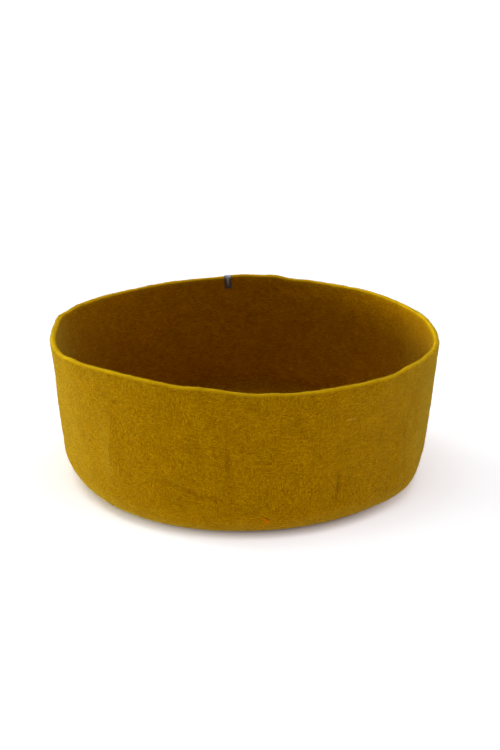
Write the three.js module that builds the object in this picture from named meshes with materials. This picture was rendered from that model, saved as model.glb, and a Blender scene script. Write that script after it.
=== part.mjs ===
// A round pet bed felted from wool in one seamless piece, with a folded tape tag over its rim.
// Sizes are in millimetres and +Z is up. The bed stands on Z = 0, centred on the Z axis.

import * as THREE from "three";

// Driving sizes of the felt, all to its outside
const RIM_RADIUS = 250;
const FOOT_RADIUS = 235.5; // where the wall's straight line would meet the floor
const WALL_HEIGHT = 193.5;
const CORNER_RADIUS = 42; // where the wall turns under into the base
const FELT_THICKNESS = 7;

// The woven tape tag, folded in half over the back of the rim
const TAG_AZIMUTH = 95.8; // degrees from +X towards +Y
const TAG_WIDTH = 11;
const TAG_THICKNESS = 0.9;
const TAG_DROP = 18; // each leg, measured down from the top of the rim
const TAG_GAP = 0.5; // between the tape and the felt
const TAG_STEPS_ACROSS = 4;

// How finely the felt is divided
const SEGMENTS_AROUND = 120;
const CORNER_STEPS = 7;
const WALL_STEPS = 6;
const RIM_STEPS = 6;

// How the hand-felted wall stands off an even cone, section by section around the bed.
// azimuth is in degrees. rimOut, bellyOut and footOut push the wall outwards at its top,
// middle and bottom, and rimUp raises its top edge.
const SECTIONS = [
  { azimuth: 0, rimOut: -0.5, rimUp: -2, bellyOut: 2.5, footOut: -1.5 },
  { azimuth: 15, rimOut: -2.5, rimUp: -1, bellyOut: 1.5, footOut: 0 },
  { azimuth: 30, rimOut: -2.5, rimUp: -1, bellyOut: 0.5, footOut: 1 },
  { azimuth: 45, rimOut: -1, rimUp: 0, bellyOut: -0.5, footOut: 0.5 },
  { azimuth: 60, rimOut: -1.5, rimUp: -0.5, bellyOut: -1, footOut: -1 },
  { azimuth: 75, rimOut: 0, rimUp: 1.5, bellyOut: 0, footOut: -1.5 },
  { azimuth: 90, rimOut: 2, rimUp: 3, bellyOut: 1, footOut: 0 },
  { azimuth: 105, rimOut: -0.5, rimUp: 0, bellyOut: 0.5, footOut: 1.5 },
  { azimuth: 120, rimOut: -1.5, rimUp: -0.5, bellyOut: -1, footOut: 1 },
  { azimuth: 135, rimOut: -1, rimUp: -1, bellyOut: -0.5, footOut: -0.5 },
  { azimuth: 150, rimOut: 1, rimUp: 0.5, bellyOut: 0.5, footOut: 1 },
  { azimuth: 165, rimOut: 4.5, rimUp: 0, bellyOut: 1, footOut: 3 },
  { azimuth: 180, rimOut: 1, rimUp: 0.5, bellyOut: 0, footOut: 2.5 },
  { azimuth: 195, rimOut: 2.5, rimUp: -1, bellyOut: -1.5, footOut: -2 },
  { azimuth: 210, rimOut: 1, rimUp: 0.5, bellyOut: -1, footOut: -2.5 },
  { azimuth: 225, rimOut: -5.5, rimUp: 3.5, bellyOut: 0, footOut: 0.5 },
  { azimuth: 240, rimOut: -7, rimUp: 4, bellyOut: 0.5, footOut: 2 },
  { azimuth: 255, rimOut: -4, rimUp: 3.5, bellyOut: 0.5, footOut: 2 },
  { azimuth: 270, rimOut: -1.5, rimUp: 0, bellyOut: 0, footOut: -0.5 },
  { azimuth: 285, rimOut: 2, rimUp: -2, bellyOut: -0.5, footOut: -1 },
  { azimuth: 300, rimOut: 1.5, rimUp: -2, bellyOut: -1, footOut: -2 },
  { azimuth: 315, rimOut: 1, rimUp: -3, bellyOut: -0.5, footOut: -1.5 },
  { azimuth: 330, rimOut: 2.5, rimUp: -0.5, bellyOut: 1.5, footOut: 2.5 },
  { azimuth: 345, rimOut: 3, rimUp: -2, bellyOut: 0.5, footOut: -3.5 },
];

// Small waves of the top edge, each fading out over this many degrees to either side
const RIM_WAVES = [
  { azimuth: 10, up: 1, reach: 8 },
  { azimuth: 30, up: 0.6, reach: 5 },
  { azimuth: 73, up: -1.3, reach: 5 },
  { azimuth: 80, up: 0.9, reach: 4 },
  { azimuth: 98, up: -1, reach: 6 },
  { azimuth: 157, up: 0.8, reach: 8 },
  { azimuth: 169, up: 2.5, reach: 7 },
  { azimuth: 202, up: -1.3, reach: 7 },
  { azimuth: 211, up: 0.8, reach: 4 },
  { azimuth: 251, up: -1.4, reach: 6 },
  { azimuth: 262, up: 0.7, reach: 6 },
  { azimuth: 272, up: -1.1, reach: 7 },
  { azimuth: 314, up: -1.1, reach: 6 },
  { azimuth: 323, up: 0.7, reach: 4 },
  { azimuth: 330, up: -1.2, reach: 4 },
];

// Soft ridges and troughs of the wall. out is how far each stands proud, or is pressed in where
// it is below zero, and height is its middle. It fades out over its reach around and up the wall.
const PRESSES = [
  { azimuth: 12, height: 120, out: -1.2, reachAround: 12, reachUp: 50 },
  { azimuth: 40, height: 80, out: 1.2, reachAround: 10, reachUp: 60 },
  { azimuth: 74, height: 130, out: -1, reachAround: 9, reachUp: 30 },
  { azimuth: 106, height: 70, out: -1.2, reachAround: 8, reachUp: 45 },
  { azimuth: 124, height: 160, out: 1.5, reachAround: 10, reachUp: 35 },
  { azimuth: 150, height: 90, out: -1, reachAround: 9, reachUp: 55 },
  { azimuth: 186, height: 100, out: 1.2, reachAround: 9, reachUp: 60 },
  { azimuth: 221, height: 95, out: -1, reachAround: 7, reachUp: 70 },
  { azimuth: 228, height: 92, out: 1.2, reachAround: 5, reachUp: 70 },
  { azimuth: 247, height: 118, out: -0.8, reachAround: 8, reachUp: 30 },
  { azimuth: 251, height: 60, out: -1.5, reachAround: 12, reachUp: 16 },
  { azimuth: 261, height: 116, out: 1, reachAround: 4, reachUp: 55 },
  { azimuth: 265, height: 107, out: -0.8, reachAround: 3.5, reachUp: 35 },
  { azimuth: 298, height: 62, out: -1.5, reachAround: 4, reachUp: 28 },
  { azimuth: 306, height: 109, out: -0.8, reachAround: 12, reachUp: 45 },
  { azimuth: 322, height: 90, out: 1, reachAround: 4, reachUp: 65 },
];

const radians = THREE.MathUtils.degToRad;
const SECTION_STEP = 360 / SECTIONS.length;

// A value of one column of SECTIONS at any azimuth, on a smooth closed curve through its rows.
function column(name, azimuth) {
  const place = (((azimuth % 360) + 360) % 360) / SECTION_STEP;
  const row = Math.floor(place);
  const value = (offset) => SECTIONS[(row + offset + SECTIONS.length) % SECTIONS.length][name];
  const t = place - row;
  const [before, here, next, after] = [value(-1), value(0), value(1), value(2)];
  const slopeHere = (next - before) / 2;
  const slopeNext = (after - here) / 2;
  const swing = here - next;
  return here + slopeHere * t
    + (-3 * swing - 2 * slopeHere - slopeNext) * t ** 2
    + (2 * swing + slopeHere + slopeNext) * t ** 3;
}

// 1 in the middle of a soft bump, falling to 0 at its reach.
function bump(distance, reach) {
  const t = Math.min(Math.abs(distance) / reach, 1);
  return (1 - t * t) ** 2;
}

// The shorter way round between two azimuths, in degrees.
function turnBetween(a, b) {
  return ((((a - b) % 360) + 540) % 360) - 180;
}

// Moves a point of the even vessel to where the hand-felted one has it. The flat base and the
// flat floor inside keep their height, and every push fades out towards the middle.
function uneven(point) {
  const azimuth = THREE.MathUtils.radToDeg(Math.atan2(point.y, point.x));
  const radius = Math.hypot(point.x, point.y);
  const share = THREE.MathUtils.clamp(point.z / WALL_HEIGHT, 0, 1.05);
  const aboveCorner = Math.max(0, (point.z - CORNER_RADIUS) / (WALL_HEIGHT - CORNER_RADIUS));

  let out = column("footOut", azimuth) * (1 - share)
    + column("rimOut", azimuth) * share
    + column("bellyOut", azimuth) * 4 * share * (1 - share);
  for (const press of PRESSES) {
    out += press.out
      * bump(turnBetween(azimuth, press.azimuth), press.reachAround)
      * bump(point.z - press.height, press.reachUp);
  }
  let up = column("rimUp", azimuth) * aboveCorner;
  for (const wave of RIM_WAVES) {
    up += wave.up * bump(turnBetween(azimuth, wave.azimuth), wave.reach) * aboveCorner ** 2;
  }

  const fade = THREE.MathUtils.smoothstep(radius, 0, FOOT_RADIUS - CORNER_RADIUS);
  const direction = radians(azimuth);
  point.x += Math.cos(direction) * out * fade;
  point.y += Math.sin(direction) * out * fade;
  point.z += up;
  return point;
}

// The even vessel's section at a depth inside its outer surface: base, corner arc and wall.
const WALL_LEAN = Math.atan2(RIM_RADIUS - FOOT_RADIUS, WALL_HEIGHT);
const CORNER_CENTRE = FOOT_RADIUS + CORNER_RADIUS * Math.tan(WALL_LEAN) - CORNER_RADIUS / Math.cos(WALL_LEAN);

function wallRadius(height, depth) {
  return FOOT_RADIUS + height * Math.tan(WALL_LEAN) - depth / Math.cos(WALL_LEAN);
}

function cornerPoints(depth) {
  const radius = CORNER_RADIUS - depth;
  const points = [];
  for (let step = 0; step <= CORNER_STEPS; step += 1) {
    const angle = -Math.PI / 2 + (Math.PI / 2 - WALL_LEAN) * (step / CORNER_STEPS);
    points.push(new THREE.Vector2(
      CORNER_CENTRE + radius * Math.cos(angle),
      CORNER_RADIUS + radius * Math.sin(angle),
    ));
  }
  return points;
}

function wallPoints(depth) {
  const low = CORNER_RADIUS - (CORNER_RADIUS - depth) * Math.sin(WALL_LEAN);
  const high = WALL_HEIGHT - FELT_THICKNESS / 2;
  const points = [];
  for (let step = 1; step < WALL_STEPS; step += 1) {
    const height = low + (high - low) * (step / WALL_STEPS);
    points.push(new THREE.Vector2(wallRadius(height, depth), height));
  }
  return points;
}

// The rounded top edge, from the outside over to the inside, at a distance from the felt.
function rimPoints(gap, steps) {
  const centreHeight = WALL_HEIGHT - FELT_THICKNESS / 2;
  const centreRadius = wallRadius(centreHeight, FELT_THICKNESS / 2);
  const radius = FELT_THICKNESS / 2 + gap;
  const points = [];
  for (let step = 0; step <= steps; step += 1) {
    const angle = Math.PI * (step / steps) - WALL_LEAN;
    points.push(new THREE.Vector2(
      centreRadius + radius * Math.cos(angle),
      centreHeight + radius * Math.sin(angle),
    ));
  }
  return points;
}

function unevenGeometry(geometry) {
  const positions = geometry.getAttribute("position");
  const point = new THREE.Vector3();
  for (let index = 0; index < positions.count; index += 1) {
    uneven(point.fromBufferAttribute(positions, index));
    positions.setXYZ(index, point.x, point.y, point.z);
  }
  geometry.computeVertexNormals();
  return geometry;
}

// The vessel is its section turned around the Z axis and then made uneven.
function feltGeometry() {
  const section = [
    new THREE.Vector2(0, 0),
    ...cornerPoints(0),
    ...wallPoints(0),
    ...rimPoints(0, RIM_STEPS),
    ...wallPoints(FELT_THICKNESS).reverse(),
    ...cornerPoints(FELT_THICKNESS).reverse(),
    new THREE.Vector2(0, FELT_THICKNESS),
  ];
  const geometry = new THREE.LatheGeometry(section, SEGMENTS_AROUND);
  geometry.rotateX(Math.PI / 2);
  return unevenGeometry(geometry);
}

// The tape's section lies in a plane through the axis: two legs and a round fold over the rim.
// It is extruded by the tape's width and then bent to the rim's curve.
function tagGeometry() {
  const foldSteps = 8;
  const legEnd = WALL_HEIGHT - TAG_DROP;
  const side = (gap) => [
    new THREE.Vector2(wallRadius(legEnd, -gap), legEnd),
    ...rimPoints(gap, foldSteps),
    new THREE.Vector2(wallRadius(legEnd, FELT_THICKNESS + gap), legEnd),
  ];
  const outline = [...side(TAG_GAP + TAG_THICKNESS), ...side(TAG_GAP).reverse()];
  const geometry = new THREE.ExtrudeGeometry(new THREE.Shape(outline), {
    depth: TAG_WIDTH,
    steps: TAG_STEPS_ACROSS,
    bevelEnabled: false,
  });
  const positions = geometry.getAttribute("position");
  for (let index = 0; index < positions.count; index += 1) {
    const radius = positions.getX(index);
    const height = positions.getY(index);
    const across = positions.getZ(index) - TAG_WIDTH / 2;
    const azimuth = radians(TAG_AZIMUTH) - across / RIM_RADIUS;
    positions.setXYZ(index, radius * Math.cos(azimuth), radius * Math.sin(azimuth), height);
  }
  return unevenGeometry(geometry);
}

const felt = new THREE.Mesh(
  feltGeometry(),
  new THREE.MeshStandardMaterial({ color: 0xa87e0a, roughness: 0.95, metalness: 0 }),
);
felt.name = "felt_bed";

const tag = new THREE.Mesh(
  tagGeometry(),
  new THREE.MeshStandardMaterial({ color: 0x4a4a4e, roughness: 0.85, metalness: 0 }),
);
tag.name = "tape_tag";

const group = new THREE.Group();
group.add(felt, tag);

// The uneven bed is centred over the origin by the box of everything in it.
const box = new THREE.Box3().setFromObject(group);
group.position.set(-(box.min.x + box.max.x) / 2, -(box.min.y + box.max.y) / 2, 0);

export default group;
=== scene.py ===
# The looks of a round pet bed felted from wool in one piece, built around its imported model.
# Metres, +Z up. Lengths in the tables are in millimetres and azimuths in degrees from +X to +Y.

import math

import bpy
import numpy as np
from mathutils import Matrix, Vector, noise
from mathutils.bvhtree import BVHTree


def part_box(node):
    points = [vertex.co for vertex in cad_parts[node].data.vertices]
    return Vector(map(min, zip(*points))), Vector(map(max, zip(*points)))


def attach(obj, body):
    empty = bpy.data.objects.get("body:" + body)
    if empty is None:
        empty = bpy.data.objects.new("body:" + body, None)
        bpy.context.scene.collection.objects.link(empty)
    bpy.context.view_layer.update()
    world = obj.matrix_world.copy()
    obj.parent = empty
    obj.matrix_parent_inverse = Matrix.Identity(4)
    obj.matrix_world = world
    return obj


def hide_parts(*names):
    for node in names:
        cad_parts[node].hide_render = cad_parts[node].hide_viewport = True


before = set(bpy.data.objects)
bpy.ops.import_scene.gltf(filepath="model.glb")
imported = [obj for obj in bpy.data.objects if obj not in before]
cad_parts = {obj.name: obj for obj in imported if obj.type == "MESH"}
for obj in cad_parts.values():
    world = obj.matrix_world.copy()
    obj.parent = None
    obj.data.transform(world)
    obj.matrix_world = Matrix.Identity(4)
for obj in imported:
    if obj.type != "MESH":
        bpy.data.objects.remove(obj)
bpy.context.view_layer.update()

MM = 0.001
BODY = "root"

# The camera, fitted to the outline of the bed in the photograph
PHOTO_HEIGHT = 750  # pixels, the longer side
FOCAL_PIXELS = 1511
SENSOR_MM = 36
CAMERA_PLACE = (0.0009, -1.8753, 0.7898)
CAMERA_DOWN = math.radians(19.44)
CAMERA_RIGHT = math.radians(0.20)

# Driving sizes of the felt, all to its outside
RIM_RADIUS = 250 * MM
FOOT_RADIUS = 235.5 * MM
WALL_HEIGHT = 193.5 * MM
CORNER_RADIUS = 42 * MM
FELT_THICKNESS = 7 * MM

# The woven tape tag, folded in half over the back of the rim
TAG_AZIMUTH = math.radians(95.8)
TAG_WIDTH = 11 * MM
TAG_THICKNESS = 0.6 * MM
TAG_DROP = 18 * MM
TAG_GAP = 0.15 * MM

TAG_TAPER = 1 * MM  # the inner leg's left edge draws in towards its end
TAG_SLANT = 1 * MM  # and the whole leg leans to the right
TAG_CROWN = 0.3 * MM  # how far the tape stands proud along its middle
TAPE_RIBS = 13
TAPE_RIB_HEIGHT = 0.07 * MM
TAPE_PICK = 0.9 * MM  # one turn of the weave along the tape
TAPE_PICK_SHARE = 0.5  # of a rib's height
SELVEDGE_RISE = 0.12 * MM
SELVEDGE_WIDTH = 0.14  # of half the tape's width
EDGE_SQUARENESS = 12  # how late the tape's section turns in at its edges
BACK_CROWN = 0.6  # how much of the crown shows on the side towards the felt
STITCH_COUNT = 5
STITCH_REACH = 0.8  # the row of stitches ends here, of half the tape's width
STITCH_RADIUS = 0.16 * MM
STITCH_RISE = 0.25 * MM
STITCH_ABOVE_END = 1.5 * MM

# How finely the felt is divided
OUTSIDE_STEPS_AROUND = 640
INSIDE_STEPS_AROUND = 320
CORNER_STEPS = 24
WALL_STEPS = 58
RIM_STEPS = 8
INSIDE_CORNER_STEPS = 13
INSIDE_WALL_STEPS = 38
DISC_RINGS = 26
FEWEST_AROUND = 20

# And how finely the tape and its stitches are
TAPE_COLUMNS = 91
TAPE_LEG_STEPS = 50
TAPE_FOLD_STEPS = 24
STITCH_STEPS = 7
ROUND_SIDES = 6

# How the hand-felted wall stands off an even cone, section by section around the bed
SECTIONS = [
    dict(azimuth=0, rim_out=-0.5, rim_up=-2, belly_out=2.5, foot_out=-1.5),
    dict(azimuth=15, rim_out=-2.5, rim_up=-1, belly_out=1.5, foot_out=0),
    dict(azimuth=30, rim_out=-2.5, rim_up=-1, belly_out=0.5, foot_out=1),
    dict(azimuth=45, rim_out=-1, rim_up=0, belly_out=-0.5, foot_out=0.5),
    dict(azimuth=60, rim_out=-1.5, rim_up=-0.5, belly_out=-1, foot_out=-1),
    dict(azimuth=75, rim_out=0, rim_up=1.5, belly_out=0, foot_out=-1.5),
    dict(azimuth=90, rim_out=2, rim_up=3, belly_out=1, foot_out=0),
    dict(azimuth=105, rim_out=-0.5, rim_up=0, belly_out=0.5, foot_out=1.5),
    dict(azimuth=120, rim_out=-1.5, rim_up=-0.5, belly_out=-1, foot_out=1),
    dict(azimuth=135, rim_out=-1, rim_up=-1, belly_out=-0.5, foot_out=-0.5),
    dict(azimuth=150, rim_out=1, rim_up=0.5, belly_out=0.5, foot_out=1),
    dict(azimuth=165, rim_out=4.5, rim_up=0, belly_out=1, foot_out=3),
    dict(azimuth=180, rim_out=1, rim_up=0.5, belly_out=0, foot_out=2.5),
    dict(azimuth=195, rim_out=2.5, rim_up=-1, belly_out=-1.5, foot_out=-2),
    dict(azimuth=210, rim_out=1, rim_up=0.5, belly_out=-1, foot_out=-2.5),
    dict(azimuth=225, rim_out=-5.5, rim_up=3.5, belly_out=0, foot_out=0.5),
    dict(azimuth=240, rim_out=-7, rim_up=4, belly_out=0.5, foot_out=2),
    dict(azimuth=255, rim_out=-4, rim_up=3.5, belly_out=0.5, foot_out=2),
    dict(azimuth=270, rim_out=-1.5, rim_up=0, belly_out=0, foot_out=-0.5),
    dict(azimuth=285, rim_out=2, rim_up=-2, belly_out=-0.5, foot_out=-1),
    dict(azimuth=300, rim_out=1.5, rim_up=-2, belly_out=-1, foot_out=-2),
    dict(azimuth=315, rim_out=1, rim_up=-3, belly_out=-0.5, foot_out=-1.5),
    dict(azimuth=330, rim_out=2.5, rim_up=-0.5, belly_out=1.5, foot_out=2.5),
    dict(azimuth=345, rim_out=3, rim_up=-2, belly_out=0.5, foot_out=-3.5),
]

# Small waves of the top edge, each fading out over this many degrees to either side
RIM_WAVES = [
    dict(azimuth=10, up=1, reach=8),
    dict(azimuth=30, up=0.6, reach=5),
    dict(azimuth=73, up=-1.3, reach=5),
    dict(azimuth=80, up=0.9, reach=4),
    dict(azimuth=98, up=-1, reach=6),
    dict(azimuth=157, up=0.8, reach=8),
    dict(azimuth=169, up=2.5, reach=7),
    dict(azimuth=202, up=-1.3, reach=7),
    dict(azimuth=211, up=0.8, reach=4),
    dict(azimuth=251, up=-1.4, reach=6),
    dict(azimuth=262, up=0.7, reach=6),
    dict(azimuth=272, up=-1.1, reach=7),
    dict(azimuth=314, up=-1.1, reach=6),
    dict(azimuth=323, up=0.7, reach=4),
    dict(azimuth=330, up=-1.2, reach=4),
]

# Soft ridges and troughs of the wall, with their middle and how far they reach around and up
PRESSES = [
    dict(azimuth=12, height=120, out=-1.2, around=12, up=50),
    dict(azimuth=40, height=80, out=1.2, around=10, up=60),
    dict(azimuth=74, height=130, out=-1, around=9, up=30),
    dict(azimuth=106, height=70, out=-1.2, around=8, up=45),
    dict(azimuth=124, height=160, out=1.5, around=10, up=35),
    dict(azimuth=150, height=90, out=-1, around=9, up=55),
    dict(azimuth=186, height=100, out=1.2, around=9, up=60),
    dict(azimuth=221, height=95, out=-1, around=7, up=70),
    dict(azimuth=228, height=92, out=1.2, around=5, up=70),
    dict(azimuth=247, height=118, out=-0.8, around=8, up=30),
    dict(azimuth=251, height=60, out=-1.5, around=12, up=16),
    dict(azimuth=261, height=116, out=1, around=4, up=55),
    dict(azimuth=265, height=107, out=-0.8, around=3.5, up=35),
    dict(azimuth=298, height=62, out=-1.5, around=4, up=28),
    dict(azimuth=306, height=109, out=-0.8, around=12, up=45),
    dict(azimuth=322, height=90, out=1, around=4, up=65),
]

# Fine creases of the outside, each along a path of (azimuth, height) points. depth is how far its
# middle is pressed in, or stands proud where it is below zero, and reach is half its width.
CREASES = [
    dict(path=[(228.6, 150), (227.6, 110), (226.6, 70), (225.9, 34)], depth=-0.3, reach=8),
    dict(path=[(261.1, 164), (261.3, 120), (260.7, 68)], depth=-0.35, reach=7),
    dict(path=[(265.1, 131), (265.3, 108), (264.9, 83)], depth=0.4, reach=5),
    dict(
        path=[(241, 71), (246.8, 72), (250.8, 69), (254.3, 63), (257.2, 58), (261, 55), (266, 53)],
        depth=0.55, reach=5),
    dict(path=[(297.2, 83), (298.1, 72), (298, 63), (297.6, 50), (298, 42)], depth=0.85, reach=4),
    dict(path=[(320.5, 148), (322.4, 110), (324, 70), (325.9, 26)], depth=0.35, reach=5),
    dict(path=[(324, 155), (331, 153)], depth=0.35, reach=4),
    dict(path=[(327, 128), (335, 125)], depth=0.35, reach=4),
    dict(path=[(326, 101), (333, 99)], depth=0.3, reach=4),
    dict(path=[(328, 74), (336, 71)], depth=0.35, reach=4),
    dict(path=[(20, 150), (21.5, 90), (20.6, 40)], depth=0.5, reach=6),
    dict(path=[(58, 60), (66, 66), (74, 61)], depth=0.6, reach=6),
    dict(path=[(118, 140), (119, 95), (117.8, 55)], depth=-0.4, reach=7),
    dict(path=[(140, 52), (148, 57), (155, 54)], depth=0.6, reach=6),
    dict(path=[(172, 148), (173, 100), (172, 60)], depth=0.4, reach=6),
    dict(path=[(200, 120), (201, 88), (200, 48)], depth=0.4, reach=5),
]

CREASE_END = 0.02  # of its path, where a crease is at its faintest
CREASE_FADE = 0.6  # how quickly it grows from there
CREASE_FULL_SHADE_DEPTH = 0.6 * MM  # the depth from which a crease's painted shade is fully dark

# The swell of the felt's surface: its height, its wavelength and the seed of its noise
SWELLS = [
    dict(height=0.45, wavelength=42, seed=1),
    dict(height=0.28, wavelength=15, seed=2),
    dict(height=0.12, wavelength=7, seed=3),
]
SWELL_FADE = 12 * MM  # it grows over this height above the floor
FLOOR_SWELL = 0.5  # how much of it the well's floor has
NOISE_STEP = Vector((7.3, 1.9, 4.7))
NOISE_GAIN = 1.6

# The felt lies flat under the tag, this many degrees to either side and this far down
TAG_PRESS_AROUND = 3
TAG_PRESS_DOWN = 1.3 * TAG_DROP

# Painted shade in the well's rounded corner, painted light on a band of the well's floor and a painted
# highlight along the rim, by height
WELL_CORNER = 26 * MM  # the height where the painted shade of the well's rounded corner is darkest
WELL_CORNER_PAINTED_SHADE = 0.22
WELL_FLOOR_BAND = 6 * MM
WELL_FLOOR_PAINTED_LIGHT = 0.25
RIM_HIGHLIGHT_OUTSIDE = dict(top=1.2, fade=2.8 * MM)
RIM_HIGHLIGHT_INSIDE = dict(top=1.4, fade=2.6 * MM)

SECTION_STEP = 360 / len(SECTIONS)
ABOVE_RIM = 1.05  # of the wall's height, up to which the sections hold
DEGREE_ARC = math.radians(1) * RIM_RADIUS / MM  # millimetres around the rim
WALL_LEAN = math.atan2(RIM_RADIUS - FOOT_RADIUS, WALL_HEIGHT)
CORNER_CENTRE = FOOT_RADIUS + CORNER_RADIUS * math.tan(WALL_LEAN) - CORNER_RADIUS / math.cos(WALL_LEAN)


# The form of the hand-felted wall, as in the solids

def column(name, azimuth):
    """One column of SECTIONS at an array of azimuths, on a smooth closed curve through its rows."""
    values = np.array([row[name] for row in SECTIONS]) * MM
    place = (azimuth % 360) / SECTION_STEP
    row = np.floor(place).astype(int)
    t = place - row
    before, here, after, beyond = (values[(row + offset) % len(SECTIONS)] for offset in (-1, 0, 1, 2))
    slope_here = (after - before) / 2
    slope_after = (beyond - here) / 2
    swing = here - after
    square = -3 * swing - 2 * slope_here - slope_after
    cube = 2 * swing + slope_here + slope_after
    return here + slope_here * t + square * t ** 2 + cube * t ** 3


def bump(distance, reach):
    """1 in the middle of a soft bump, falling to 0 at its reach."""
    t = np.minimum(np.abs(distance) / reach, 1)
    return (1 - t * t) ** 2


def turn_between(a, b):
    """The shorter way round between two azimuths, in degrees."""
    return (a - b + 180) % 360 - 180


def azimuths(points):
    return np.degrees(np.arctan2(points[:, 1], points[:, 0]))


def uneven(points):
    """Moves points of the even vessel to where the hand-felted one has them."""
    azimuth = azimuths(points)
    radius = np.hypot(points[:, 0], points[:, 1])
    height = points[:, 2]
    share = np.clip(height / WALL_HEIGHT, 0, ABOVE_RIM)
    above_corner = np.maximum(0, (height - CORNER_RADIUS) / (WALL_HEIGHT - CORNER_RADIUS))

    out = column("foot_out", azimuth) * (1 - share)
    out += column("rim_out", azimuth) * share
    out += column("belly_out", azimuth) * 4 * share * (1 - share)
    for press in PRESSES:
        around = bump(turn_between(azimuth, press["azimuth"]), press["around"])
        out += press["out"] * MM * around * bump(height - press["height"] * MM, press["up"] * MM)
    up = column("rim_up", azimuth) * above_corner
    for wave in RIM_WAVES:
        around = bump(turn_between(azimuth, wave["azimuth"]), wave["reach"])
        up += wave["up"] * MM * around * above_corner ** 2

    t = np.clip(radius / (FOOT_RADIUS - CORNER_RADIUS), 0, 1)
    out *= t * t * (3 - 2 * t)
    direction = np.radians(azimuth)
    moved = points.copy()
    moved[:, 0] += np.cos(direction) * out
    moved[:, 1] += np.sin(direction) * out
    moved[:, 2] += up
    return moved


def wall_radius(height, depth):
    return FOOT_RADIUS + height * math.tan(WALL_LEAN) - depth / math.cos(WALL_LEAN)


def corner_section(depth, steps):
    """(radius, height) points of the rounded bottom corner, from the base up."""
    radius = CORNER_RADIUS - depth
    points = []
    for step in range(steps + 1):
        angle = -math.pi / 2 + (math.pi / 2 - WALL_LEAN) * step / steps
        out, up = radius * math.cos(angle), radius * math.sin(angle)
        points.append((CORNER_CENTRE + out, CORNER_RADIUS + up))
    return points


def wall_section(depth, steps):
    low = CORNER_RADIUS - (CORNER_RADIUS - depth) * math.sin(WALL_LEAN)
    high = WALL_HEIGHT - FELT_THICKNESS / 2
    heights = [low + (high - low) * step / steps for step in range(1, steps)]
    return [(wall_radius(height, depth), height) for height in heights]


def rim_section(gap, steps):
    """The rounded top edge from the outside over to the inside, at a distance from the felt."""
    centre_height = WALL_HEIGHT - FELT_THICKNESS / 2
    centre_radius = wall_radius(centre_height, FELT_THICKNESS / 2)
    radius = FELT_THICKNESS / 2 + gap
    points = []
    for step in range(steps + 1):
        angle = math.pi * step / steps - WALL_LEAN
        out, up = radius * math.cos(angle), radius * math.sin(angle)
        points.append((centre_radius + out, centre_height + up))
    return points


def direction_of(azimuth, elevation=0):
    """The unit vector at an azimuth and an elevation in degrees."""
    level = math.cos(math.radians(elevation))
    turn = math.radians(azimuth)
    return Vector((math.cos(turn) * level, math.sin(turn) * level, math.sin(math.radians(elevation))))


# Meshes

def mesh_object(name, points, faces, material, smooth=True):
    mesh = bpy.data.meshes.new(name)
    mesh.from_pydata([tuple(point) for point in points], [], faces)
    mesh.materials.append(material)
    mesh.update()
    if smooth:
        mesh.shade_smooth()
    piece = bpy.data.objects.new(name, mesh)
    bpy.context.scene.collection.objects.link(piece)
    return piece


def set_attribute(piece, name, values):
    attribute = piece.data.attributes.new(name, "FLOAT", "POINT")
    attribute.data.foreach_set("value", np.asarray(values, np.float32))


def zip_rings(first, count, next_first, next_count):
    """Faces between two rings of vertices, where the second has as many, half or twice as many."""
    faces = []
    if count == next_count:
        for i in range(count):
            j = (i + 1) % count
            faces.append((first + i, first + j, next_first + j, next_first + i))
    elif count == 2 * next_count:
        for i in range(next_count):
            j = (i + 1) % next_count
            a, b, c = (first + k for k in (2 * i, 2 * i + 1, (2 * i + 2) % count))
            here, onwards = next_first + i, next_first + j
            faces += [(a, b, here), (b, onwards, here), (b, c, onwards)]
    else:
        for i in range(count):
            j = (i + 1) % count
            a, b, c = (next_first + k for k in (2 * i, 2 * i + 1, (2 * i + 2) % next_count))
            faces += [(first + i, b, a), (first + i, first + j, b), (first + j, c, b)]
    return faces


def disc_rings(radius, height):
    """(radius, height, count) rings of a flat disc from its edge inwards, with fewer steps inside."""
    rings = []
    count = INSIDE_STEPS_AROUND
    for ring in range(1, DISC_RINGS):
        share = 1 - ring / DISC_RINGS
        if count > max(2 * INSIDE_STEPS_AROUND * share, FEWEST_AROUND):
            count //= 2
        rings.append((radius * share, height, count))
    return rings


def felt_rings():
    """All rings of the vessel, from the middle of its base round to the middle of its floor."""
    base = disc_rings(CORNER_CENTRE, 0)[::-1]
    outside = corner_section(0, CORNER_STEPS) + wall_section(0, WALL_STEPS) + rim_section(0, RIM_STEPS)
    inside = wall_section(FELT_THICKNESS, INSIDE_WALL_STEPS)[::-1]
    inside += corner_section(FELT_THICKNESS, INSIDE_CORNER_STEPS)[::-1]
    rings = base + [(radius, height, OUTSIDE_STEPS_AROUND) for radius, height in outside]
    rings += [(radius, height, INSIDE_STEPS_AROUND) for radius, height in inside]
    return rings + disc_rings(CORNER_CENTRE, FELT_THICKNESS)


def ring_points(radius, height, count):
    turn = np.arange(count) * (2 * math.pi / count)
    return np.column_stack((radius * np.cos(turn), radius * np.sin(turn), np.full(count, height)))


def frame_shift(points):
    """How far part.mjs's own centring moves the felt, read from the box of its solid."""
    low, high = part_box("felt_bed")
    middle = (points.max(0) + points.min(0)) / 2
    return np.array([(low.x + high.x) / 2 - middle[0], (low.y + high.y) / 2 - middle[1], 0])


def noise_at(points, wavelength, seed):
    """Smooth noise from about -1 to 1 at each point."""
    offset = NOISE_STEP * seed
    return np.array([noise.noise(Vector(point) / wavelength + offset) for point in points]) * NOISE_GAIN


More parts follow.
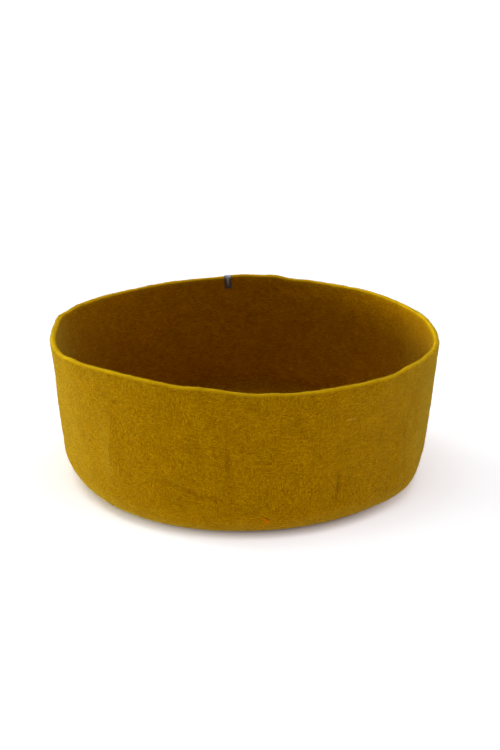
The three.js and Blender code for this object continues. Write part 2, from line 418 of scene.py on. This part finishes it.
def crease_depth(points):
    """How deep the creases press the outside in at each point, in metres."""
    azimuth = azimuths(points)
    total = np.zeros(len(points))
    for crease in CREASES:
        path = np.array(crease["path"], float)
        knots = np.column_stack(((path[:, 0] - path[0, 0]) * DEGREE_ARC, path[:, 1]))
        place = np.column_stack((turn_between(azimuth, path[0, 0]) * DEGREE_ARC, points[:, 2] / MM))
        deepest = np.zeros(len(points))
        lengths = np.hypot(*np.diff(knots, axis=0).T)
        walked = 0.0
        for start, end, length in zip(knots[:-1], knots[1:], lengths):
            t = np.clip((place - start) @ (end - start) / length ** 2, 0, 1)
            distance = np.hypot(*(place - start - t[:, None] * (end - start)).T)
            along = (walked + t * length) / lengths.sum()
            fade = np.sin(math.pi * np.clip(along, CREASE_END, 1 - CREASE_END)) ** CREASE_FADE
            deepest = np.maximum(deepest, bump(distance, crease["reach"]) * fade)
            walked += length
        total += crease["depth"] * MM * deepest
    return total


# Materials

def set_sockets(tree, node, inputs):
    """Sets each input of a node to a value, or links it to another node's socket."""
    for name, value in inputs.items():
        if isinstance(value, bpy.types.NodeSocket):
            tree.links.new(value, node.inputs[name])
        else:
            node.inputs[name].default_value = value


def add_node(tree, kind, inputs=None, **settings):
    """A shader node with its settings and inputs."""
    made = tree.nodes.new(kind)
    for name, value in settings.items():
        setattr(made, name, value)
    set_sockets(tree, made, inputs or {})
    return made


def new_material(name):
    """A material with its node tree and its shader."""
    material = bpy.data.materials.new(name)
    material.use_nodes = True
    return material, material.node_tree, material.node_tree.nodes["Principled BSDF"]


def object_place(tree):
    return add_node(tree, "ShaderNodeTexCoord").outputs["Object"]


def mesh_attribute(tree, name):
    return add_node(tree, "ShaderNodeAttribute", attribute_name=name).outputs["Fac"]


def math_node(tree, operation, a, b=0.0):
    return add_node(tree, "ShaderNodeMath", {0: a, 1: b}, operation=operation).outputs[0]


def product(tree, value, *others):
    for other in others:
        value = math_node(tree, "MULTIPLY", value, other)
    return value


def mix_colour(tree, factor, a, b, blend_type="MIX"):
    inputs = {0: factor, 6: a, 7: b}
    return add_node(tree, "ShaderNodeMix", inputs, data_type="RGBA", blend_type=blend_type).outputs[2]


def mix_value(tree, factor, a, b):
    return add_node(tree, "ShaderNodeMix", {0: factor, 2: a, 3: b}).outputs[0]


def map_range(tree, value, low, high, to_low=0.0, to_high=1.0):
    inputs = {"Value": value, "From Min": low, "From Max": high, "To Min": to_low, "To Max": to_high}
    return add_node(tree, "ShaderNodeMapRange", inputs).outputs[0]


def noise_node(tree, vector, scale, detail=2.0, roughness=0.5, distortion=0.0):
    inputs = {
        "Vector": vector,
        "Scale": scale,
        "Detail": detail,
        "Roughness": roughness,
        "Distortion": distortion,
    }
    return add_node(tree, "ShaderNodeTexNoise", inputs).outputs["Fac"]


def stretched(tree, vector, scale):
    return add_node(tree, "ShaderNodeMapping", {"Vector": vector, "Scale": scale}).outputs[0]


def relief(tree, height, strength, distance):
    inputs = {"Height": height, "Strength": strength, "Distance": distance}
    return add_node(tree, "ShaderNodeBump", inputs).outputs[0]


FELT_DEEP = (0.20, 0.072, 0.0003, 1)
FELT_MIDDLE = (0.37, 0.163, 0.0005, 1)
FELT_LIGHT = (0.60, 0.33, 0.0010, 1)
FELT_RIM_HIGHLIGHT = (0.84, 0.51, 0.005, 1)  # painted highlight along the rim
# Painted shade: the inside of the well is multiplied darker and redder, standing in for its light bouncing
# between its walls
INSIDE_PAINTED_SHADE = (1, 0.89, 0.8, 1)
SHEEN_TINT = (1.0, 0.94, 0.15, 1)
SHEEN_WEIGHT = 0.8
SHEEN_ROUGHNESS = 0.17

# The grain of the felt. Scales, and the streaks' own along X, Y and Z, are in waves to a metre
CURLS = dict(scale=580, detail=3.0, roughness=0.7, distortion=1.8)
STREAKS = dict(scale=1.0, detail=3.0, roughness=0.65, distortion=1.0)
LEVEL_STREAKS = (170, 170, 700)
UPRIGHT_STREAKS = (560, 560, 170)
PATCHES = dict(scale=28, detail=1.0)
MOTTLE = dict(scale=45, detail=3.0, roughness=0.6)

# Ranges, each with the result at its start and end where that isn't 0 and 1
PATCH_EDGE = (0.40, 0.52)
STREAK_SHARE = (0, 1, 0.4, 0.65)  # of the fibres, from outside to inside
FIBRE_SPREAD = (0, 1, 0.12, 0.2)  # from mid tone to the darkest or lightest, from outside to inside
FIBRE_ROUGHNESS = (0.3, 0.7, 0.98, 0.86)
CREASE_SHADE_COVER = (0.42, 0.58, 1, 0.3)  # how much painted shade the creases get, from between the fibres to the top of them
MOTTLE_SHADE = (0.3, 0.7, 0.92, 1.08)
# How much of the painted rim highlight shows
RIM_HIGHLIGHT_COVER = 0.85
MOTTLE_HEIGHT = 0.6  # beside the fibres' 1
FELT_RELIEF = dict(strength=0.9, distance=1.8 * MM)


def felt_material():
    """Wool fibres that lie matted together in every direction, some in streaks."""
    material, tree, shader = new_material("wool_felt")
    place = object_place(tree)
    inside = mesh_attribute(tree, "inside")

    # Curly fibres in every direction, and streaks that lie level, or upright in places outside
    curls = noise_node(tree, place, **CURLS)
    level = noise_node(tree, stretched(tree, place, LEVEL_STREAKS), **STREAKS)
    upright = noise_node(tree, stretched(tree, place, UPRIGHT_STREAKS), **STREAKS)
    patches = map_range(tree, noise_node(tree, place, **PATCHES), *PATCH_EDGE)
    streaks = mix_value(tree, math_node(tree, "MAXIMUM", patches, inside), upright, level)
    fibres = mix_value(tree, map_range(tree, inside, *STREAK_SHARE), curls, streaks)
    mottle = noise_node(tree, place, **MOTTLE)

    # Their colour, with painted shade in the creases and inside the well, and a painted highlight along
    # the rim
    spread = map_range(tree, inside, *FIBRE_SPREAD)
    darkest, lightest = (math_node(tree, operation, 0.5, spread) for operation in ("SUBTRACT", "ADD"))
    shade = map_range(tree, fibres, darkest, lightest)
    painted_crease_shade = product(tree, mesh_attribute(tree, "painted_crease_shade"), map_range(tree, fibres, *CREASE_SHADE_COVER))
    painted_rim_highlight = product(tree, mesh_attribute(tree, "painted_rim_highlight"), RIM_HIGHLIGHT_COVER)
    colour = mix_colour(tree, map_range(tree, shade, 0, 0.5), FELT_DEEP, FELT_MIDDLE)
    colour = mix_colour(tree, map_range(tree, shade, 0.5, 1), colour, FELT_LIGHT)
    colour = mix_colour(tree, painted_crease_shade, colour, FELT_DEEP)
    colour = mix_colour(tree, inside, colour, INSIDE_PAINTED_SHADE, "MULTIPLY")
    colour = mix_colour(tree, painted_rim_highlight, colour, FELT_RIM_HIGHLIGHT)
    # Painted shade in the well's corner and painted light on its floor, times a random mottle of tone
    painted_shading_and_tone = product(tree, mesh_attribute(tree, "painted_shading_and_tone"), map_range(tree, mottle, *MOTTLE_SHADE))
    toned = add_node(tree, "ShaderNodeVectorMath", {0: colour, "Scale": painted_shading_and_tone}, operation="SCALE")

    height = math_node(tree, "ADD", fibres, product(tree, mottle, MOTTLE_HEIGHT))
    set_sockets(tree, shader, {
        "Base Color": toned.outputs[0],
        "Normal": relief(tree, height, **FELT_RELIEF),
        "Roughness": map_range(tree, fibres, *FIBRE_ROUGHNESS),
        "Specular IOR Level": 0.0,
        "Sheen Weight": SHEEN_WEIGHT,
        "Sheen Roughness": SHEEN_ROUGHNESS,
        "Sheen Tint": SHEEN_TINT,
    })
    return material


# The two shades of each kind of single fibre
# The loose wool fibres are lighter than the felt: partly the wool's own colour, partly painted light where
# they catch the light
WOOL_FIBRE = [(0.42, 0.24, 0.004, 1), (0.68, 0.46, 0.02, 1)]
ORANGE_FIBRE = [(0.66, 0.18, 0.002, 1), (0.84, 0.27, 0.004, 1)]
PALE_FIBRE = [(0.60, 0.42, 0.08, 1), (0.75, 0.55, 0.14, 1)]
TAG_THREAD = [(0.05, 0.05, 0.06, 1), (0.12, 0.12, 0.14, 1)]
FIBRE_SHADES = dict(scale=180, detail=1.0)
SHADE_SPAN = (0.35, 0.65)
SINGLE_FIBRE_ROUGHNESS = (0, 1, 0.75, 0.95)


def fibre_material(name, shades):
    """Single fibres, each a little lighter or darker than the next."""
    material, tree, shader = new_material(name)
    shade = map_range(tree, noise_node(tree, object_place(tree), **FIBRE_SHADES), *SHADE_SPAN)
    set_sockets(tree, shader, {
        "Base Color": mix_colour(tree, shade, *shades),
        "Roughness": map_range(tree, shade, *SINGLE_FIBRE_ROUGHNESS),
        "Specular IOR Level": 0.0,
    })
    return material


TAPE_DARK = (0.016, 0.016, 0.019, 1)
TAPE_MIDDLE = (0.055, 0.055, 0.063, 1)
# Painted highlight of the satin, also the colour of the paler cut end
TAPE_HIGHLIGHT_AND_PALE_END = (0.82, 0.80, 0.88, 1)
TAPE_THREADS = (2600, 2600, 500)
TAPE_ROUGHNESS = (0.3, 0.7, 0.38, 0.55)
TAPE_RELIEF = dict(strength=0.3, distance=0.2 * MM)
TAPE_SPECULAR = 0.8
TAPE_SHEEN = 0.2

# Where painted highlights lie on the tape's satin and where its cut end is pale, as ranges across it from
# -1 to 1 and along it from its fold at 0 to its ends at 1, each with the share at its start and end
FOLD_HIGHLIGHT_ALONG = (0.08, 0.3, 1, 0)
FOLD_HIGHLIGHT_ACROSS = (-0.7, 0.5, 0.35, 1)
STREAK_HIGHLIGHT_ALONG = (0.25, 0.85, 1, 0)
STREAK_HIGHLIGHT_ACROSS = (0.05, 0.4, 0.85, 0)
END_ALONG = (0.965, 0.975, 0, 0.2)
SIDES_ACROSS = (0.75, 0.95, 1, 0)
THREAD_PATCHINESS = (0, 1, 0.5, 1.1)


def tape_material():
    """Charcoal tape with a satin face, a fine rib and painted highlights on its fold and down its middle.
    """
    material, tree, shader = new_material("woven_tape")
    across, along = (mesh_attribute(tree, name) for name in ("across", "along"))
    from_middle = math_node(tree, "ABSOLUTE", across)
    thread = noise_node(tree, stretched(tree, object_place(tree), TAPE_THREADS), scale=1.0)

    # Painted highlights on the satin, on the fold and in a painted sheen streak down the middle, and a
    # paler cut end
    fold = product(tree, map_range(tree, along, *FOLD_HIGHLIGHT_ALONG), map_range(tree, across, *FOLD_HIGHLIGHT_ACROSS))
    streak = map_range(tree, from_middle, *STREAK_HIGHLIGHT_ACROSS)
    streak = product(tree, streak, map_range(tree, along, *STREAK_HIGHLIGHT_ALONG))
    cut_end = map_range(tree, along, *END_ALONG)
    highlight_and_pale_end = math_node(tree, "MAXIMUM", math_node(tree, "MAXIMUM", fold, streak), cut_end)
    sides = map_range(tree, from_middle, *SIDES_ACROSS)
    highlight_and_pale_end = product(tree, highlight_and_pale_end, sides, map_range(tree, thread, *THREAD_PATCHINESS))
    colour = mix_colour(tree, thread, TAPE_DARK, TAPE_MIDDLE)
    set_sockets(tree, shader, {
        "Base Color": mix_colour(tree, highlight_and_pale_end, colour, TAPE_HIGHLIGHT_AND_PALE_END),
        "Normal": relief(tree, thread, **TAPE_RELIEF),
        "Roughness": map_range(tree, thread, *TAPE_ROUGHNESS),
        "Specular IOR Level": TAPE_SPECULAR,
        "Sheen Weight": TAPE_SHEEN,
    })
    return material


# The felt

def mark_felt(piece, outside, height, crease):
    """What the felt's material reads: which side a point is on, the painted highlight along its rim, the
    painted shade and painted light of its well and the painted shade of its creases.
    """
    below_rim = WALL_HEIGHT - height
    rim_highlight_outside, rim_highlight_inside = (painted_rim_highlight["top"] - below_rim / painted_rim_highlight["fade"] for painted_rim_highlight in (RIM_HIGHLIGHT_OUTSIDE, RIM_HIGHLIGHT_INSIDE))
    # Painted shade darkens the well's rounded corner and painted light brightens a band of its floor
    corner = WELL_CORNER_PAINTED_SHADE * bump(height - WELL_CORNER, WELL_CORNER)
    floor = WELL_FLOOR_PAINTED_LIGHT * np.clip(1 - (height - FELT_THICKNESS) / WELL_FLOOR_BAND, 0, 1)
    set_attribute(piece, "inside", np.where(outside, 0, 1))
    set_attribute(piece, "painted_rim_highlight", np.clip(np.where(outside, rim_highlight_outside, rim_highlight_inside), 0, 1))
    set_attribute(piece, "painted_shading_and_tone", np.where(outside, 1, 1 - corner + floor))
    set_attribute(piece, "painted_crease_shade", np.clip(crease / CREASE_FULL_SHADE_DEPTH, 0, 1))


def felt_bed(material):
    """The vessel with its swell and creases, and how far its frame is shifted."""
    rings = felt_rings()
    tip = len(rings)
    counts = [count for _, _, count in rings]
    firsts = np.cumsum([0] + counts)
    middles = [[(0, 0, 0)], [(0, 0, FELT_THICKNESS)]]
    points = np.vstack([ring_points(*ring) for ring in rings] + middles)
    faces = []
    for index in range(tip - 1):
        faces += zip_rings(int(firsts[index]), counts[index], int(firsts[index + 1]), counts[index + 1])
    base_middle, floor_middle = int(firsts[tip]), int(firsts[tip]) + 1
    for i in range(counts[0]):
        faces.append((base_middle, (i + 1) % counts[0], i))
    last = int(firsts[tip - 1])
    for i in range(counts[-1]):
        faces.append((floor_middle, last + i, last + (i + 1) % counts[-1]))

    height = points[:, 2].copy()
    section = np.concatenate([np.full(count, index) for index, count in enumerate(counts)] + [[0], [tip]])
    wall = np.clip((height - FELT_THICKNESS) / SWELL_FADE, 0, 1)
    points = uneven(points)
    shift = frame_shift(points)
    points += shift

    outside_last = DISC_RINGS + CORNER_STEPS + WALL_STEPS + RIM_STEPS // 2
    outside = section < outside_last
    piece = mesh_object("felt", points, faces, material)
    normals = np.zeros(len(points) * 3, np.float32)
    piece.data.vertices.foreach_get("normal", normals)
    normals = normals.reshape(-1, 3)
    swell = np.zeros(len(points))
    for row in SWELLS:
        swell += row["height"] * MM * noise_at(points, row["wavelength"] * MM, row["seed"])
    crease = np.where(outside, crease_depth(points - shift), 0)
    from_tag = turn_between(azimuths(points), math.degrees(TAG_AZIMUTH))
    under_tag = bump(from_tag, TAG_PRESS_AROUND) * (height > WALL_HEIGHT - TAG_PRESS_DOWN)
    swell *= np.maximum(wall, np.where(outside, 0, FLOOR_SWELL)) * (1 - under_tag)
    points = points + normals * (swell - crease)[:, None]
    points[:, 2] = np.maximum(points[:, 2], 0)
    piece.data.vertices.foreach_set("co", points.astype(np.float32).ravel())

    mark_felt(piece, outside, height, crease)
    piece.data.update()
    return piece, shift


# Fibres that stand off the felt

# How far the short ones run, rise, bend and lean, and between which heights they stand
FUZZ_SPAN = (2.5 * MM, 6 * MM)
FUZZ_RISE = (0.25 * MM, 1.8 * MM)
FUZZ_CURL = 0.12
FUZZ_LEAN = 0.3
FUZZ_ROOT = 0.15 * MM
FUZZ_RADIUS = 0.06 * MM
FUZZ_STEPS = 5
FUZZ_LOWEST = 5 * MM
FUZZ_HIGHEST = WALL_HEIGHT * 0.985
FUZZ_RIM_BAND = 7 * MM

# Fibres of other wool on the front, each a path of azimuth, height and how far off the felt
STRAY_STEPS = 24
STRAY_TAPER = 0.7  # how much thinner a stray fibre is at its ends
STRAY_TAPER_POWER = 4
STRAY_FACING = (0.0, -1.0, 0.3)
STRAY_ORANGE_RADIUS = 0.55 * MM
STRAY_ORANGE = [
    [(275.3, 28.9, 0), (276, 29, 0.5), (276.7, 28, 0.6), (276.8, 25.5, 0.6), (276.6, 22.5, 0)],
    [(275.6, 27.8, 0), (276.2, 28, 0.6), (276.5, 26, 0.7), (276.4, 23.5, 0.5), (276.2, 20.5, 0)],
    [(276.2, 27, 0), (276.9, 26.5, 0.5), (277, 24, 0.5), (276.8, 21, 0)],
]
STRAY_PALE_RADIUS = 0.16 * MM
STRAY_PALE = [
    (298.6, 147.5, 0), (299.5, 148.6, 0.8), (300.5, 149.4, 1.2), (301.5, 148.8, 0.9), (302.1, 146.4, 0),
]


def tube_object(name, paths, towards, radii, material, sides=3):
    """Closed tubes, one along each of many paths (n, steps, 3), as one mesh. radii is one per step."""
    count, steps = paths.shape[:2]
    along = np.gradient(paths, axis=1)
    along /= np.linalg.norm(along, axis=2, keepdims=True)
    across = np.cross(along, towards[:, None, :])
    across /= np.linalg.norm(across, axis=2, keepdims=True)
    over = np.cross(across, along)
    turn = np.arange(sides) * (2 * math.pi / sides)
    ring = across[:, :, None] * np.cos(turn)[:, None] + over[:, :, None] * np.sin(turn)[:, None]
    points = paths[:, :, None] + ring * np.asarray(radii)[None, :, None, None]
    index = np.arange(count * steps * sides).reshape(count, steps, sides)
    onwards = np.roll(index, -1, axis=2)
    walls = np.stack((index[:, :-1], onwards[:, :-1], onwards[:, 1:], index[:, 1:]), -1)
    faces = walls.reshape(-1, 4).tolist()
    faces += index[:, 0, ::-1].tolist() + index[:, -1].tolist()
    return mesh_object(name, points.reshape(-1, 3), faces, material)


def scattered_roots(piece, count, keep, random):
    """Random points on the faces of a mesh that keep(centres, normals) picks, with the normals there."""
    mesh = piece.data
    points = np.zeros(len(mesh.vertices) * 3, np.float32)
    mesh.vertices.foreach_get("co", points)
    points = points.reshape(-1, 3)
    corners = np.array([list(face.vertices)[:3] + [face.vertices[-1]] for face in mesh.polygons])
    area = np.array([face.area for face in mesh.polygons])
    normal = np.array([face.normal for face in mesh.polygons])
    chance = area * keep(points[corners].mean(1), normal)
    picked = random.choice(len(area), count, p=chance / chance.sum())
    a, b, c, d = (points[corners[picked, k]] for k in range(4))
    u, v = random.random((2, count, 1))
    return (a * (1 - u) + b * u) * (1 - v) + (d * (1 - u) + c * u) * v, normal[picked]


def facing_out(centres, normals):
    return (centres[:, :2] * normals[:, :2]).sum(1) > 0


def along_the_wall(centres):
    return (centres[:, 2] > FUZZ_LOWEST) & (centres[:, 2] < FUZZ_HIGHEST)


def on_the_outside(centres, normals):
    return along_the_wall(centres) & facing_out(centres, normals)


def in_the_well(centres, normals):
    return along_the_wall(centres) & ~facing_out(centres, normals)


def on_the_rim(centres, normals):
    return centres[:, 2] > WALL_HEIGHT - FUZZ_RIM_BAND


# The groups of short fibres, with the faces that they stand on and the seed of their draws
FUZZ_GROUPS = [
    dict(name="fuzz_outside", count=7500, keep=on_the_outside, seed=11),
    dict(name="fuzz_outside_more", count=7500, keep=on_the_outside, seed=14),
    dict(name="fuzz_rim", count=4500, keep=on_the_rim, seed=12),
    dict(name="fuzz_inside", count=5000, keep=in_the_well, seed=13),
]


def fuzz(piece, material, name, count, keep, seed):
    """Short fibres of the felt that arch off its surface with both ends in it."""
    random = np.random.default_rng(seed)
    roots, normals = scattered_roots(piece, count, keep, random)
    heading = random.normal(size=(count, 3))
    heading -= (heading * normals).sum(1, keepdims=True) * normals
    heading /= np.linalg.norm(heading, axis=1, keepdims=True)
    sideways = np.cross(normals, heading)
    span = random.uniform(*FUZZ_SPAN, count)[:, None, None]
    rise = (random.random(count) ** 2 * (FUZZ_RISE[1] - FUZZ_RISE[0]) + FUZZ_RISE[0])[:, None, None]
    curl = random.normal(0, FUZZ_CURL, count)[:, None, None]
    lean = random.normal(0, FUZZ_LEAN, count)[:, None, None]
    t = np.linspace(0, 1, FUZZ_STEPS)[None, :, None]
    arch = np.sin(math.pi * t)
    paths = roots[:, None] + heading[:, None] * span * (t - 0.5)
    paths = paths + normals[:, None] * (rise * arch - FUZZ_ROOT)
    paths = paths + sideways[:, None] * span * (curl * np.sin(2 * math.pi * t) + lean * arch)
    paths[:, :, 2] = np.maximum(paths[:, :, 2], FUZZ_RADIUS)
    return tube_object(name, paths, normals, np.full(FUZZ_STEPS, FUZZ_RADIUS), material)


def stray_fibre(name, piece, path, radius, material):
    """One fibre along a path of (azimuth, height, off the felt) points on the outside of a mesh."""
    places = [vertex.co for vertex in piece.data.vertices]
    surface = BVHTree.FromPolygons(places, [list(face.vertices) for face in piece.data.polygons])
    knots = []
    for azimuth, height, off in path:
        outwards = direction_of(azimuth)
        start = outwards * 2 * RIM_RADIUS + Vector((0, 0, height * MM))
        place, normal, _, _ = surface.ray_cast(start, -outwards)
        knots.append(place + normal * off * MM)
    steps = np.linspace(0, len(knots) - 1, STRAY_STEPS)
    points = np.column_stack([np.interp(steps, range(len(knots)), values) for values in np.array(knots).T])
    from_middle = np.abs(np.linspace(-1, 1, STRAY_STEPS))
    radii = radius * (1 - STRAY_TAPER * from_middle ** STRAY_TAPER_POWER)
    return tube_object(name, points[None], np.array([STRAY_FACING]), radii, material, sides=ROUND_SIDES)


# The woven tape tag

def tape_path():
    """(radius, height) points along the middle of the tape, from its outer end over the rim."""
    gap = TAG_GAP + TAG_THICKNESS / 2
    low = WALL_HEIGHT - TAG_DROP
    fold = np.array(rim_section(gap, TAPE_FOLD_STEPS))
    up = np.linspace(0, 1, TAPE_LEG_STEPS, endpoint=False)[:, None]
    ends = np.array([(wall_radius(low, -gap), low), (wall_radius(low, FELT_THICKNESS + gap), low)])
    outer = ends[0] * (1 - up) + fold[0] * up
    inner = ends[1] * (1 - up) + fold[-1] * up
    return np.vstack((outer, fold, inner[::-1]))


def tape_surface(path, across, side, shift, raised=0.0):
    """Points of one face of the tape (side 1 outwards, -1 towards the felt), row by row."""
    forward = np.gradient(path, axis=0)
    forward /= np.linalg.norm(forward, axis=1, keepdims=True)
    outward = np.column_stack((forward[:, 1], -forward[:, 0]))
    walked = np.concatenate(([0], np.cumsum(np.hypot(*np.diff(path, axis=0).T))))
    down = np.clip((WALL_HEIGHT - FELT_THICKNESS / 2 - path[:, 1]) / TAG_DROP, 0, 1)
    inner_leg = down * (walked > walked[-1] / 2)
    u = across[None, :]
    edge = np.sqrt(np.clip(1 - np.abs(u) ** EDGE_SQUARENESS, 0, 1))
    thickness = TAG_THICKNESS / 2 * edge
    ribs = np.cos(math.pi * TAPE_RIBS * u) * np.cos(2 * math.pi * walked[:, None] / TAPE_PICK)
    ribs = TAPE_RIB_HEIGHT * (TAPE_PICK_SHARE * ribs + np.cos(2 * math.pi * TAPE_RIBS * u))
    crown = TAG_CROWN * (1 - u ** 2) * np.ones_like(walked)[:, None]
    selvedge = SELVEDGE_RISE * bump(1 - np.abs(u), SELVEDGE_WIDTH)
    face = ribs * edge + crown if side > 0 else crown * BACK_CROWN
    lift = side * (thickness + selvedge * edge) + face + raised
    radius = path[:, 0][:, None] + outward[:, 0][:, None] * lift
    height = path[:, 1][:, None] + outward[:, 1][:, None] * lift
    width = u * TAG_WIDTH / 2 + inner_leg[:, None] * (TAG_TAPER * np.clip(-u, 0, 1) + TAG_SLANT)
    azimuth = TAG_AZIMUTH - width / RIM_RADIUS
    points = np.stack((radius * np.cos(azimuth), radius * np.sin(azimuth), height), -1).reshape(-1, 3)
    return uneven(points) + shift


def strip(first, second):
    """Faces between two rows of vertices."""
    return np.column_stack((first[:-1], first[1:], second[1:], second[:-1])).tolist()


def tape_tag(material, shift):
    """The folded tape, its two faces joined along its edges and ends."""
    path = tape_path()
    across = np.linspace(-1, 1, TAPE_COLUMNS)
    front, back = (tape_surface(path, across, side, shift) for side in (1, -1))
    over = np.arange(len(front)).reshape(len(path), TAPE_COLUMNS)
    under = over + len(front)
    faces = []
    for row in range(len(path) - 1):
        faces += strip(over[row], over[row + 1])
    for i in range(TAPE_COLUMNS - 1):
        faces += strip(under[:, i], under[:, i + 1])
    faces += strip(over[:, 0], under[:, 0]) + strip(over[::-1, -1], under[::-1, -1])
    faces += strip(over[0, ::-1], under[0, ::-1]) + strip(over[-1], under[-1])
    piece = mesh_object("tape", np.vstack((front, back)), faces, material)
    piece.data.validate()
    set_attribute(piece, "across", np.tile(across, 2 * len(path)))
    from_fold = np.abs(np.linspace(-1, 1, len(path)))
    set_attribute(piece, "along", np.tile(np.repeat(from_fold, TAPE_COLUMNS), 2))
    return piece


def tag_stitches(material, shift):
    """One row of short stitches near each end of the tape, sunk into it at both ends."""
    path = tape_path()
    rows = []
    for end in (path[0], path[-1]):
        from_end = np.hypot(*(path - end).T)
        rows.append(int(np.argmin(np.abs(from_end - STITCH_ABOVE_END))))
    ends = np.linspace(-STITCH_REACH, STITCH_REACH, 2 * STITCH_COUNT)
    raised = STITCH_RISE * np.sin(np.linspace(0, math.pi, STITCH_STEPS)) - STITCH_RADIUS / 2
    paths = []
    for left, right in zip(ends[::2], ends[1::2]):
        surface = tape_surface(path, np.linspace(left, right, STITCH_STEPS), 1, shift, raised)
        surface = surface.reshape(len(path), STITCH_STEPS, 3)
        paths += [surface[row] for row in rows]
    outwards = np.array([each[STITCH_STEPS // 2] - each[[0, -1]].mean(0) for each in paths])
    radii = np.full(STITCH_STEPS, STITCH_RADIUS)
    return tube_object("tag_stitches", np.array(paths), outwards, radii, material, sides=ROUND_SIDES)


# The setting

def make_camera():
    data = bpy.data.cameras.new("camera")
    data.sensor_width = SENSOR_MM
    data.lens = FOCAL_PIXELS * SENSOR_MM / PHOTO_HEIGHT
    camera = bpy.data.objects.new("camera", data)
    camera.location = CAMERA_PLACE
    camera.rotation_euler = (math.pi / 2 - CAMERA_DOWN, 0, -CAMERA_RIGHT)
    bpy.context.scene.collection.objects.link(camera)
    bpy.context.scene.camera = camera


FLOOR_HALF = 20
FLOOR_DROP = 0.3 * MM
FLOOR_COLOUR = (0.88, 0.92, 0.97, 1)
FLOOR_GLOW = 0.43  # the pale table is lit from below too
GLOW_COLOUR = (0.98, 0.97, 1.05, 1)

# Ranges as for the felt. No light comes up where the bed stands, and more does in front of it
GLOW_EDGE = (203 * MM, 232 * MM)
FRONT_GLOW = (-0.95, -0.3, 0.11, 0)
FRONT_FADE = (0.3, 0.6, 1, 0)


def make_floor():
    material, tree, shader = new_material("floor")
    place = object_place(tree)
    away = add_node(tree, "ShaderNodeVectorMath", {0: place}, operation="LENGTH").outputs["Value"]
    parts = add_node(tree, "ShaderNodeSeparateXYZ", {0: place})
    forward = math_node(tree, "DIVIDE", parts.outputs["Y"], away)
    in_front = product(tree, map_range(tree, forward, *FRONT_GLOW), map_range(tree, away, *FRONT_FADE))
    glow = math_node(tree, "ADD", in_front, FLOOR_GLOW)
    set_sockets(tree, shader, {
        "Base Color": FLOOR_COLOUR,
        "Roughness": 1.0,
        "Specular IOR Level": 0.0,
        "Emission Color": GLOW_COLOUR,
        "Emission Strength": product(tree, glow, map_range(tree, away, *GLOW_EDGE)),
    })
    corners = [(-1, -1), (1, -1), (1, 1), (-1, 1)]
    points = [(x * FLOOR_HALF, y * FLOOR_HALF, -FLOOR_DROP) for x, y in corners]
    floor = mesh_object("floor", points, [(0, 1, 2, 3)], material, smooth=False)


# Soft light from around the bed, each lobe brightest along its axis
LEFT_TINT = (0.98, 1.12, 0.85)
RIGHT_TINT = (1.02, 0.97, 0.88)
TOP_TINT = (1.0, 0.98, 0.95)
SKY_LOBES = [
    dict(azimuth=140, elevation=2, sharpness=200, strength=80, tint=LEFT_TINT),
    dict(azimuth=155, elevation=3, sharpness=200, strength=50, tint=LEFT_TINT),
    dict(azimuth=170, elevation=3, sharpness=200, strength=36, tint=LEFT_TINT),
    dict(azimuth=185, elevation=3, sharpness=200, strength=24, tint=LEFT_TINT),
    dict(azimuth=155, elevation=48, sharpness=90, strength=6, tint=TOP_TINT),
    dict(azimuth=200, elevation=24, sharpness=90, strength=1.8, tint=LEFT_TINT),
    dict(azimuth=35, elevation=6, sharpness=30, strength=6.4, tint=RIGHT_TINT),
    dict(azimuth=-25, elevation=6, sharpness=30, strength=2.1, tint=RIGHT_TINT),
    dict(azimuth=-60, elevation=6, sharpness=30, strength=1, tint=TOP_TINT),
    dict(azimuth=0, elevation=90, sharpness=8, strength=2.6, tint=TOP_TINT),
]


def make_sky():
    world = bpy.data.worlds.new("sky")
    bpy.context.scene.world = world
    world.use_nodes = True
    tree = world.node_tree
    direction = add_node(tree, "ShaderNodeTexCoord").outputs["Generated"]
    total = (0.0, 0.0, 0.0)
    for lobe in SKY_LOBES:
        axis = direction_of(lobe["azimuth"], lobe["elevation"])
        facing = add_node(tree, "ShaderNodeVectorMath", {0: direction, 1: axis}, operation="DOT_PRODUCT")
        towards = math_node(tree, "MAXIMUM", facing.outputs["Value"])
        glow = math_node(tree, "POWER", towards, lobe["sharpness"])
        light = [channel * lobe["strength"] for channel in lobe["tint"]]
        sums = {0: glow, 1: light, 2: total}
        total = add_node(tree, "ShaderNodeVectorMath", sums, operation="MULTIPLY_ADD").outputs[0]
    tree.links.new(total, tree.nodes["Background"].inputs["Color"])
    bpy.context.scene.view_settings.view_transform = "Standard"


make_camera()
make_floor()
make_sky()

felt, shift = felt_bed(felt_material())
tape = tape_tag(tape_material(), shift)
stitches = tag_stitches(fibre_material("tag_thread", TAG_THREAD), shift)
wool_fibre = fibre_material("wool_fibre", WOOL_FIBRE)
fuzz_pieces = [fuzz(felt, wool_fibre, **group) for group in FUZZ_GROUPS]
orange_fibre = fibre_material("stray_orange", ORANGE_FIBRE)
for index, path in enumerate(STRAY_ORANGE):
    stray = stray_fibre(f"stray_orange_{index}", felt, path, STRAY_ORANGE_RADIUS, orange_fibre)
    fuzz_pieces.append(stray)
pale_fibre = fibre_material("stray_pale", PALE_FIBRE)
fuzz_pieces.append(stray_fibre("stray_pale", felt, STRAY_PALE, STRAY_PALE_RADIUS, pale_fibre))

for piece in [felt, *fuzz_pieces]:
    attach(piece, BODY)
for piece in [tape, stitches]:
    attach(piece, BODY)
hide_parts("felt_bed")
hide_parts("tape_tag")
